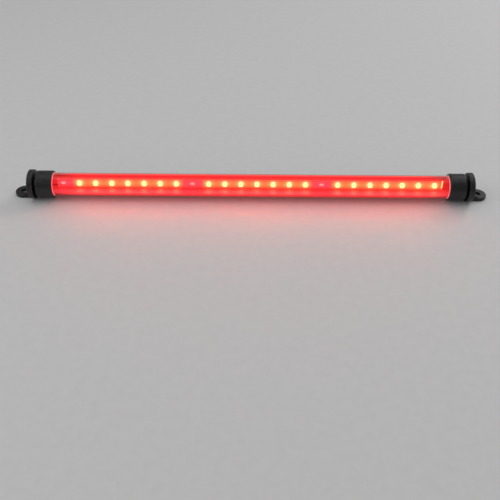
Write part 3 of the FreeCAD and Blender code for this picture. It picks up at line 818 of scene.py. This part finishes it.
def housing(size, height, cup, depth, steps=40):
    """Rows of (share of square, square's half width, circle's radius, height above the board). In direction v
    a row reaches that share of the way to its square's edge and the rest of the way to its circle."""
    half = size / 2
    rows = np.array([
        (1.0, 0.0, 0.0, 0.0),
        (1.0, half * 0.97, 0.0, 0.0),
        (1.0, half, 0.0, height * 0.12),
        (1.0, half * 0.975, 0.0, height - 0.16 * MM),
        (1.0, half * 0.955, 0.0, height - 0.05 * MM),
        (1.0, half * 0.925, 0.0, height),
        (0.0, 0.0, cup * 1.03, height),
        (0.0, 0.0, cup, height - 0.03 * MM),
        (0.0, 0.0, cup * 0.90, height - depth),
        (0.0, 0.0, 0.0, height - depth),
    ])
    v = np.linspace(0, 2 * np.pi, steps, endpoint=False)
    share, half_width, radius, up = (column[:, None] for column in rows.T)
    reach = share * squarish(v[None, :]) * half_width + (1 - share) * radius
    points = np.stack([reach * np.cos(v), -up + 0 * v, reach * np.sin(v)], axis=-1)
    return points.reshape(-1, 3), grid_faces(len(rows), steps, False, True)


PACKAGE_HEIGHT = BOARD_FRONT - PACKAGE_FRONT
RESIN_STANDS = 0.06 * MM  # the resin's crown above the housing
LIGHT_SIZE, CUP_RADIUS, CUP_DEPTH = 3.5 * MM, 1.35 * MM, 0.5 * MM
LEG_SIZE, LEG_OUT, LEG_UP = (0.5 * MM, 0.34 * MM, 2.2 * MM), 1.62 * MM, 0.18 * MM
light_places = [(x, BOARD_FRONT, AXIS_Z) for x in LIGHT_X]
one_housing = housing(LIGHT_SIZE, PACKAGE_HEIGHT - RESIN_STANDS, CUP_RADIUS, CUP_DEPTH)
housings = finish_mesh("light_housings", *repeated(one_housing, light_places), smooth_angle=30)
settle(housings, HOUSING, "package", "lamp", "led_packages")
leg = pillow(LEG_SIZE, 0.4, 8, 12)
legs = joined([shifted(leg, (side * LEG_OUT, -LEG_UP, 0.0)) for side in (-1, 1)])
pads = finish_mesh("light_solder", *repeated(legs, light_places))
settle(pads, SOLDER, "solder", "lamp")

# %% [markdown]
# The resin stands in the cup as a shallow dome. Half a sphere squashed flat would do, but its underside
# would be open. Here the first row is a point in the middle of the underside, so the skin is closed.


# %% Resin domes
def dome(radius, low, high, rings=8, steps=32):
    """A closed cap: rows of a circle that shrinks as a cosine while its height rises as a sine, on a flat
    underside."""
    u = np.linspace(0, np.pi / 2, rings)
    reach = np.concatenate([[0.0], radius * np.cos(u)])[:, None]
    up = np.concatenate([[low], low + (high - low) * np.sin(u)])[:, None]
    v = np.linspace(0, 2 * np.pi, steps, endpoint=False)
    points = np.stack([reach * np.cos(v), -up + 0 * v, reach * np.sin(v)], axis=-1)
    return points.reshape(-1, 3), grid_faces(rings + 1, steps, False, True)


RESIN_RADIUS, RESIN_CROWN = 1.34 * MM, 0.12 * MM
resin = dome(RESIN_RADIUS, PACKAGE_HEIGHT - CUP_DEPTH, PACKAGE_HEIGHT + RESIN_CROWN)
domes = finish_mesh("light_resin", *repeated(resin, light_places))
settle(domes, LIGHT, "light", "lamp", "led_windows")

# %% [markdown]
# Where the tube enters each cap the joint is closed with a bead of clear sealant. It carries light like
# the cut edge of a sheet of acrylic, so it shows as a thin bright ring. A Bevel on the cap's edge would
# catch the light in the same place, but a bead is a piece of its own with a finish of its own. It is
# one small closed outline turned round the axis.


# %% Sealant beads
def bead_finish():
    """Milky pink, uneven as it was spread by hand, and lit from inside."""
    f = Finish("bead_finish")
    lumps = f.noise(700.0)
    base = f.mix(lumps.step(0.35, 0.7), (0.95, 0.50, 0.50, 1.0), (0.90, 0.36, 0.36, 1.0))
    return f.done(f.surface(
        Base_Color=base, Roughness=(lumps * 0.2 + 0.18).clamped(),
        Normal=f.bump(lumps, 0.00004),
        Emission_Color=f.scaled((1.0, 0.12, 0.17), lumps * 0.7 + 0.15), Emission_Strength=1.0,
    ))


def bead(side):
    """A quarter-round in the corner between the tube and a cap's face: x and the radius follow a sine and a
    cosine of the bead's size."""
    inner, outer = LENS_RADIUS - 0.02 * MM, LENS_RADIUS + BEAD_SIZE
    u = np.linspace(0, np.pi / 2, 7)
    x = (CAP_FACE - BEAD_SIZE * np.sin(u)) * side
    radius = inner + (outer - inner) * np.cos(u)
    corner = ((CAP_FACE + 0.05 * MM) * side, inner)
    return turned(np.vstack([np.column_stack([x, radius]), [corner]]), BEAD_STEPS)


BEAD_SIZE = 0.5 * MM
BEAD_STEPS = 128
BEAD = bead_finish()
beads = finish_mesh("sealant_beads", *joined([bead(-1), bead(1)]))
settle(beads, BEAD, "lens", "lamp")

# %% [markdown]
# The board is a strip of fibreglass with a shallow cut across it wherever it may be snapped to length.
# The cuts could be taken out with Booleans, at the price of ragged faces all round. An outline of the
# strip's section carried along X does it with plain quads: a few rows where the outline is slightly
# smaller are the cuts.


# %% Board
def carried(section, rows):
    """A closed (y, z) section carried along X. Each row is (x, size): the section shrinks towards its middle
    by size, and a size of 0 closes an end."""
    x, size = (column[:, None] for column in np.asarray(rows, float).T)
    middle = section.mean(axis=0)
    y = middle[0] + (section[:, 0] - middle[0]) * size
    z = middle[1] + (section[:, 1] - middle[1]) * size
    points = np.stack([x + 0 * y, y, z], axis=-1)
    return points.reshape(-1, 3), grid_faces(len(rows), len(section), False, True)


CORNER_EASE, END_EASE = 0.12 * MM, 0.1 * MM
CUT_HALF_WIDTH, CUT_DEPTH = 0.22 * MM, 0.05  # the depth is a share of the section
board_corners = [
    (BOARD_FRONT, BOARD_BOTTOM), (BOARD_BACK, BOARD_BOTTOM),
    (BOARD_BACK, BOARD_TOP), (BOARD_FRONT, BOARD_TOP),
]
cuts = (CELL_X[UNLIT] - PITCH / 2)[1:]
rows = [(BOARD_LOW, 0.0), (BOARD_LOW, 0.97), (BOARD_LOW + END_EASE, 1.0)]
rows += [(cut + step * CUT_HALF_WIDTH, 1.0 - CUT_DEPTH * (step == 0)) for cut in cuts for step in (-1, 0, 1)]
rows += [(BOARD_HIGH - END_EASE, 1.0), (BOARD_HIGH, 0.97), (BOARD_HIGH, 0.0)]
strip = carried(rounded(board_corners, CORNER_EASE, 4), rows)
board = finish_mesh("board_strip", *strip, smooth_angle=30)
settle(board, BOARD, "board", "lamp", "led_board")
print("cuts at mm:", np.round(cuts / MM, 2))

# %% [markdown]
# Each resistor is a ceramic chip with a tinned cap round either end and a fillet of solder against the
# board. Bevelled cubes would do for the chip but not for the fillets, which have no flat face. Soft
# blocks make all three, with a higher power where the edges are rounder.

# %% Resistors
CHIP_SIZE = (2.7 * MM, 0.54 * MM, 1.5 * MM)
TIN_SIZE, TIN_OUT = (0.52 * MM, 0.60 * MM, 1.6 * MM), 1.33 * MM
FILLET_SIZE, FILLET_OUT = (0.75 * MM, 0.36 * MM, 1.75 * MM), 1.68 * MM
chip = shifted(pillow(CHIP_SIZE, 0.12), (0.0, -0.29 * MM, 0.0))
tins = [shifted(pillow(TIN_SIZE, 0.16), (side * TIN_OUT, -0.30 * MM, 0.0)) for side in (-1, 1)]
chip_fillets = [shifted(pillow(FILLET_SIZE, 0.6), (side * FILLET_OUT, -0.12 * MM, 0.0)) for side in (-1, 1)]
chip_places = [(x, BOARD_FRONT, AXIS_Z) for x in RESISTOR_X]
chips = finish_mesh("resistor_chips", *repeated(joined([chip] + tins), chip_places))
settle(chips, RESISTOR, "ceramic", "lamp", "ballast_resistors")
fillets = finish_mesh("resistor_solder", *repeated(joined(chip_fillets), chip_places))
settle(fillets, SOLDER, "solder", "lamp")

# %% [markdown]
# Two insulated leads run from the left end of the board into the cap and turn back to the gland. A
# curve object with a round bevel would make a wire too, but its ends stay open. So rings are set along
# a path, square to it, with a point at both ends. The path is straight, then a parabola round the
# corner, then straight.


# %% Paths and tubes
def swept(path, radius, steps=20):
    """Rings of the given radius round each point of a path, square to the path, with both ends closed."""
    along = np.gradient(path, axis=0)
    along /= np.linalg.norm(along, axis=1, keepdims=True)
    side = np.cross(along, (0.0, 0.0, 1.0))
    side /= np.linalg.norm(side, axis=1, keepdims=True)
    up = np.cross(side, along)
    v = np.linspace(0, 2 * np.pi, steps, endpoint=False)[None, :, None]
    radii = np.concatenate([[0.0], np.full(len(path), radius), [0.0]])[:, None, None]
    order = np.concatenate([[0], np.arange(len(path)), [len(path) - 1]])
    points = path[order, None] + radii * (np.cos(v) * side[order, None] + np.sin(v) * up[order, None])
    return points.reshape(-1, 3), grid_faces(len(order), steps, False, True)


def bent_path(start, corner, end, reach, steps=24):
    """Straight, then a parabola that leaves the corner out by reach on both sides, then straight."""
    start, corner, end = (np.asarray(point, float) for point in (start, corner, end))
    first = corner + (start - corner) / np.linalg.norm(start - corner) * reach
    last = corner + (end - corner) / np.linalg.norm(end - corner) * reach
    t = np.linspace(0, 1, steps)[:, None]
    bend = (1 - t) ** 2 * first + 2 * t * (1 - t) * corner + t ** 2 * last
    return np.vstack([start + (first - start) * np.linspace(0, 0.95, 12)[:, None], bend, end])


print("tubes ready")

# %% [markdown]
# Each lead gets its path from its own box in the frame: it leaves the board near one end of the box's
# height and reaches the gland near the other. The insulation stops short of the board, and the bare
# conductor goes on into a lump of solder on a tinned pad.

# %% Leads and their joints
WIRE_RADIUS, CONDUCTOR_RADIUS, WIRE_BEND = 0.5 * MM, 0.27 * MM, 2.2 * MM
STRIPPED, PAD_INSET, PAD_DEPTH = 2.4 * MM, 0.9 * MM, 0.35 * MM
pad_skin = pillow((1.8 * MM, 0.30 * MM, 1.7 * MM), 0.3)
pad_lump = pillow((1.6 * MM, 0.95 * MM, 1.3 * MM), 0.85)
joint_parts, conductor_parts = [], []
for node, slot_name, finish, sign in (
    ("positive_lead", "red_insulation", RED_WIRE, 1),
    ("negative_lead", "black_insulation", BLACK_WIRE, -1),
):
    (low_x, high_x), (low_y, high_y), (low_z, high_z) = (span(node, axis) for axis in range(3))
    near_z, far_z = (high_z, low_z) if sign > 0 else (low_z, high_z)
    turn_x, turn_z = low_x + WIRE_RADIUS, far_z + sign * WIRE_RADIUS
    start = (high_x - STRIPPED, low_y + WIRE_RADIUS, near_z - sign * (WIRE_RADIUS + 0.25 * MM))
    corner, end = (turn_x, low_y + WIRE_RADIUS, turn_z), (turn_x, high_y, turn_z)
    path = bent_path(start, corner, end, WIRE_BEND)
    wire = finish_mesh(node + "_insulation", *swept(path, WIRE_RADIUS * 0.98))
    settle(wire, finish, slot_name, "lamp", node)
    pad = (high_x - PAD_INSET, BOARD_FRONT - PAD_DEPTH, near_z - sign * WIRE_RADIUS)
    halfway = np.array(start) * 0.5 + np.array(pad) * 0.5
    conductor_parts.append(swept(bent_path(start, halfway, pad, 0.3 * MM, 8), CONDUCTOR_RADIUS, 12))
    joint_parts.append(shifted(pad_skin, (pad[0], BOARD_FRONT - 0.15 * MM, pad[2])))
    joint_parts.append(shifted(pad_lump, (pad[0], pad[1] - 0.05 * MM, pad[2])))


conductors = finish_mesh("lead_conductors", *joined(conductor_parts))
settle(conductors, STEEL, "solder", "lamp")
joints = finish_mesh("lead_solder", *joined(joint_parts))
settle(joints, SOLDER, "solder", "lamp", "solder_terminals")

# %% [markdown]
# The rear cover is a thin curved shell taped behind the tube. It could be a bent sheet thickened by
# Solidify, but its outside has shallow lengthwise flutes and its inside is plain. So its section is two
# lines in polar form, the outer one rippled by a cosine, joined into one closed outline. Carrying that
# outline through two places makes the shell.


# %% Rear cover
def shell_strip(outer, inner, x):
    """A thin wall between two (y, z) lines of as many points each, carried through the given x. The two lines
    make one closed section, and each end is closed by faces between partners on the two lines."""
    section = np.vstack([outer, inner[::-1]])
    count, half = len(section), len(outer)
    points = np.concatenate([np.column_stack([np.full(count, place), section]) for place in x])
    i = np.arange(half - 1)
    end = np.stack([i, i + 1, count - 2 - i, count - 1 - i], axis=1)
    faces = [grid_faces(len(x), count, False, True), end, end + (len(x) - 1) * count]
    return points, np.concatenate(faces)


def from_top(angle, radius):
    """(y, z) at an angle from the top towards the back."""
    return np.column_stack([AXIS_Y + radius * np.sin(angle), AXIS_Z + radius * np.cos(angle)])


COVER_WALL, FLUTE_DEPTH, EASE = 1.2 * MM, 0.12 * MM, 0.35 * MM
FLUTES, FLUTE_STEPS = 15, 12
COVER_START, COVER_SWEEP = math.radians(60.0), math.radians(95.0)  # from the top, towards the back
COVER_OUTER = span("rear_cover", 1)[1] - AXIS_Y
COVER_INNER = COVER_OUTER - COVER_WALL
lip = EASE / COVER_OUTER
share = np.linspace(0, 1, FLUTES * FLUTE_STEPS + 1)
angle = COVER_START + lip + (COVER_SWEEP - 2 * lip) * share
flutes = FLUTE_DEPTH * (0.5 - 0.5 * np.cos(2 * np.pi * FLUTES * share))
lips = np.array([COVER_START, COVER_START + COVER_SWEEP])
outer_lips, inner_lips = from_top(lips, COVER_OUTER - EASE), from_top(lips, COVER_INNER + EASE)
outer_line = np.vstack([outer_lips[:1], from_top(angle, COVER_OUTER - flutes), outer_lips[1:]])
inner_line = np.vstack([inner_lips[:1], from_top(angle, COVER_INNER + 0 * share), inner_lips[1:]])
shell = shell_strip(outer_line, inner_line, span("rear_cover", 0))
cover = finish_mesh("rear_cover_shell", *shell, smooth_angle=50)
settle(cover, COVER_FINISH, "cover_plastic", "lamp", "rear_cover")

# %% [markdown]
# The pivot screws are button heads with a hexagon socket. A Screw modifier makes threads but not the
# head, so the two would have to be joined. One grid makes a whole screw: each row has a distance along
# the axis and a reach, and some rows reach to a hexagon instead of a circle. The thread is a ridge
# whose height depends on the distance along minus the angle, so it climbs one pitch a turn.


# %% Pivot screws
def hexagon(v, corner):
    """Distance to a hexagon's side in direction v: the distance to the side's middle, over the cosine of the
    angle from there."""
    sixth = np.pi / 3
    return corner * np.cos(sixth / 2) / np.cos(np.mod(v, sixth) - sixth / 2)


def circle(v, reach):
    """The same reach in every direction."""
    return reach + 0 * v


def pivot_screw(side, tip, face, steps=72):
    """side is 1 or -1, tip and face are the distances of the screw's two ends from the lamp's middle. The
    lists hold (distance, reach) from the tip's end to the head's face, and then down into the socket."""
    v = np.linspace(0, 2 * np.pi, steps, endpoint=False)[None, :]
    head = face - HEAD_HEIGHT
    thread_x = np.linspace(tip + 0.3 * MM, head - 0.7 * MM, 76)[:, None]
    wave = np.mod(thread_x / THREAD_PITCH - v / (2 * np.pi), 1.0)
    thread = SCREW_RADIUS - THREAD_DEPTH * np.abs(2 * wave - 1)
    point = [(tip, 0.0), (tip, SCREW_RADIUS - 0.4 * MM)]
    shank = [(head - 0.5 * MM, SCREW_RADIUS - 0.05 * MM), (head, SCREW_RADIUS - 0.05 * MM)]
    button = [
        (head, HEAD_RADIUS - 0.15 * MM), (head + 0.1 * MM, HEAD_RADIUS), (face - 0.95 * MM, HEAD_RADIUS),
        (face - 0.50 * MM, HEAD_RADIUS - 0.15 * MM), (face - 0.20 * MM, 3.15 * MM),
        (face - 0.04 * MM, 2.5 * MM), (face, 1.9 * MM),
    ]
    socket = [
        (face - 0.02 * MM, SOCKET_CORNER * 1.06), (face - 0.12 * MM, SOCKET_CORNER),
        (face - 1.0 * MM, SOCKET_CORNER * 0.98), (face - 1.15 * MM, SOCKET_CORNER * 0.55),
        (face - 1.3 * MM, 0.0),
    ]

    def rows(pairs, shape):
        x, reach = (column[:, None] for column in np.array(pairs).T)
        return x + 0 * v, shape(v, reach)

    blocks = [rows(point, circle), (thread_x + 0 * v, thread), rows(shank + button, circle)]
    blocks.append(rows(socket, hexagon))
    x = np.concatenate([block[0] for block in blocks]) * side
    reach = np.concatenate([block[1] for block in blocks])
    points = np.stack([x, AXIS_Y + reach * np.cos(v), AXIS_Z + reach * np.sin(v)], axis=-1)
    return points.reshape(-1, 3), grid_faces(len(x), steps, False, True)


SCREW_RADIUS, THREAD_PITCH, THREAD_DEPTH = 2.0 * MM, 0.7 * MM, 0.22 * MM
HEAD_RADIUS, HEAD_HEIGHT, SOCKET_CORNER = 3.7 * MM, 1.8 * MM, 1.45 * MM
SCREW_TIP, SCREW_FACE = span("right_pivot_screw", 0)
for side, name in ((-1, "left_pivot_screw"), (1, "right_pivot_screw")):
    screw = finish_mesh(name + "_button", *pivot_screw(side, SCREW_TIP, SCREW_FACE), smooth_angle=35)
    settle(screw, STEEL, "steel", "lamp", name)


# %% [markdown]
# Under each head sits a split spring washer. A ring with a slot cut through it would lie flat, and a
# real one doesn't. So a small section is carried almost once round the axis while it climbs, which
# leaves both the gap and the step.


# %% Spring washers
def spring_washer(side, low, high, inner, outer, steps=90):
    """A section of about half the room's thickness, turned from 5 to 355 degrees while it climbs the rest.
    The point at share s of the way round is at 5 + 350 s degrees."""
    thick = (high - low) * 0.55
    section = rounded([(0.0, inner), (0.0, outer), (thick, outer), (thick, inner)], WASHER_EASE, 3)
    middle = section.mean(axis=0)
    share = np.concatenate([[0.0], np.linspace(0, 1, steps), [1.0]])[:, None]
    size = np.concatenate([[0.0], np.ones(steps), [0.0]])[:, None]
    turn = math.radians(5) + math.radians(350) * share
    x = low + (high - low - thick) * share + middle[0] + (section[:, 0] - middle[0]) * size
    radius = middle[1] + (section[:, 1] - middle[1]) * size
    points = np.stack([side * x, AXIS_Y + radius * np.cos(turn), AXIS_Z + radius * np.sin(turn)], axis=-1)
    return points.reshape(-1, 3), grid_faces(len(share), len(section), False, True)


WASHER_INNER, WASHER_EASE = 2.15 * MM, 0.1 * MM
WASHER_LOW, WASHER_HIGH = span("right_spring_washer", 0)
WASHER_OUTER = half_width("right_spring_washer", 1)
for side, name in ((-1, "left_spring_washer"), (1, "right_spring_washer")):
    split_ring = spring_washer(side, WASHER_LOW, WASHER_HIGH, WASHER_INNER, WASHER_OUTER)
    washer = finish_mesh(name + "_split", *split_ring)
    settle(washer, STEEL, "steel", "feet", name)


# %% [markdown]
# The floor is a plain pale sheet that the feet stand on. A curved backdrop would hide the horizon from
# one side only, and this lamp is seen from all sides. So the sheet is simply very large.

# %% Floor
FLOOR_REACH = 40.0
floor_corners = np.array([(-1, -1, 0), (1, -1, 0), (1, 1, 0), (-1, 1, 0)]) * FLOOR_REACH
floor = finish_mesh("floor", floor_corners, np.array([(0, 1, 2, 3)]))
paper = Finish("floor_finish")
sheet_grain = paper.noise(160.0, 4.0)
floor.data.materials.append(paper.done(paper.surface(
    Base_Color=paper.mix(sheet_grain.step(0.3, 0.8), grey(0.90), grey(0.87)),
    Roughness=(sheet_grain * 0.1 + 0.6).clamped(),
)))
print("floor reaches m:", FLOOR_REACH)

# %% [markdown]
# Three soft lamps light the scene from above, from the left and from behind. A sun or a brighter studio
# would show the black plastic better, but it would drown the lamp's own red, so they are kept low. Each
# is an area lamp, whose size makes its shadows soft, and points at the middle of the lamp.


# %% Studio lights
def soft_lamp(name, place, size, power):
    """A rectangular area lamp at place that points at the origin."""
    data = bpy.data.lights.new(name, "AREA")
    data.shape = "RECTANGLE"
    data.size, data.size_y = size
    data.energy = power
    lamp = bpy.data.objects.new(name, data)
    bpy.context.scene.collection.objects.link(lamp)
    lamp.location = place
    lamp.rotation_euler = (-Vector(place)).to_track_quat("-Z", "Y").to_euler()


soft_lamp("overhead", (0.0, 0.15, 1.1), (1.6, 1.0), 2.4)
soft_lamp("left_side", (-1.0, -0.5, 0.7), (0.8, 0.8), 2.0)
soft_lamp("behind", (0.9, 0.9, 0.8), (0.5, 0.5), 3.0)
bpy.context.scene.view_settings.view_transform = "Standard"
world = bpy.data.worlds.new("studio")
bpy.context.scene.world = world
world.use_nodes = True
world.node_tree.nodes["Background"].inputs["Color"].default_value = grey(0.75)
world.node_tree.nodes["Background"].inputs["Strength"].default_value = 0.36
print("studio ready")
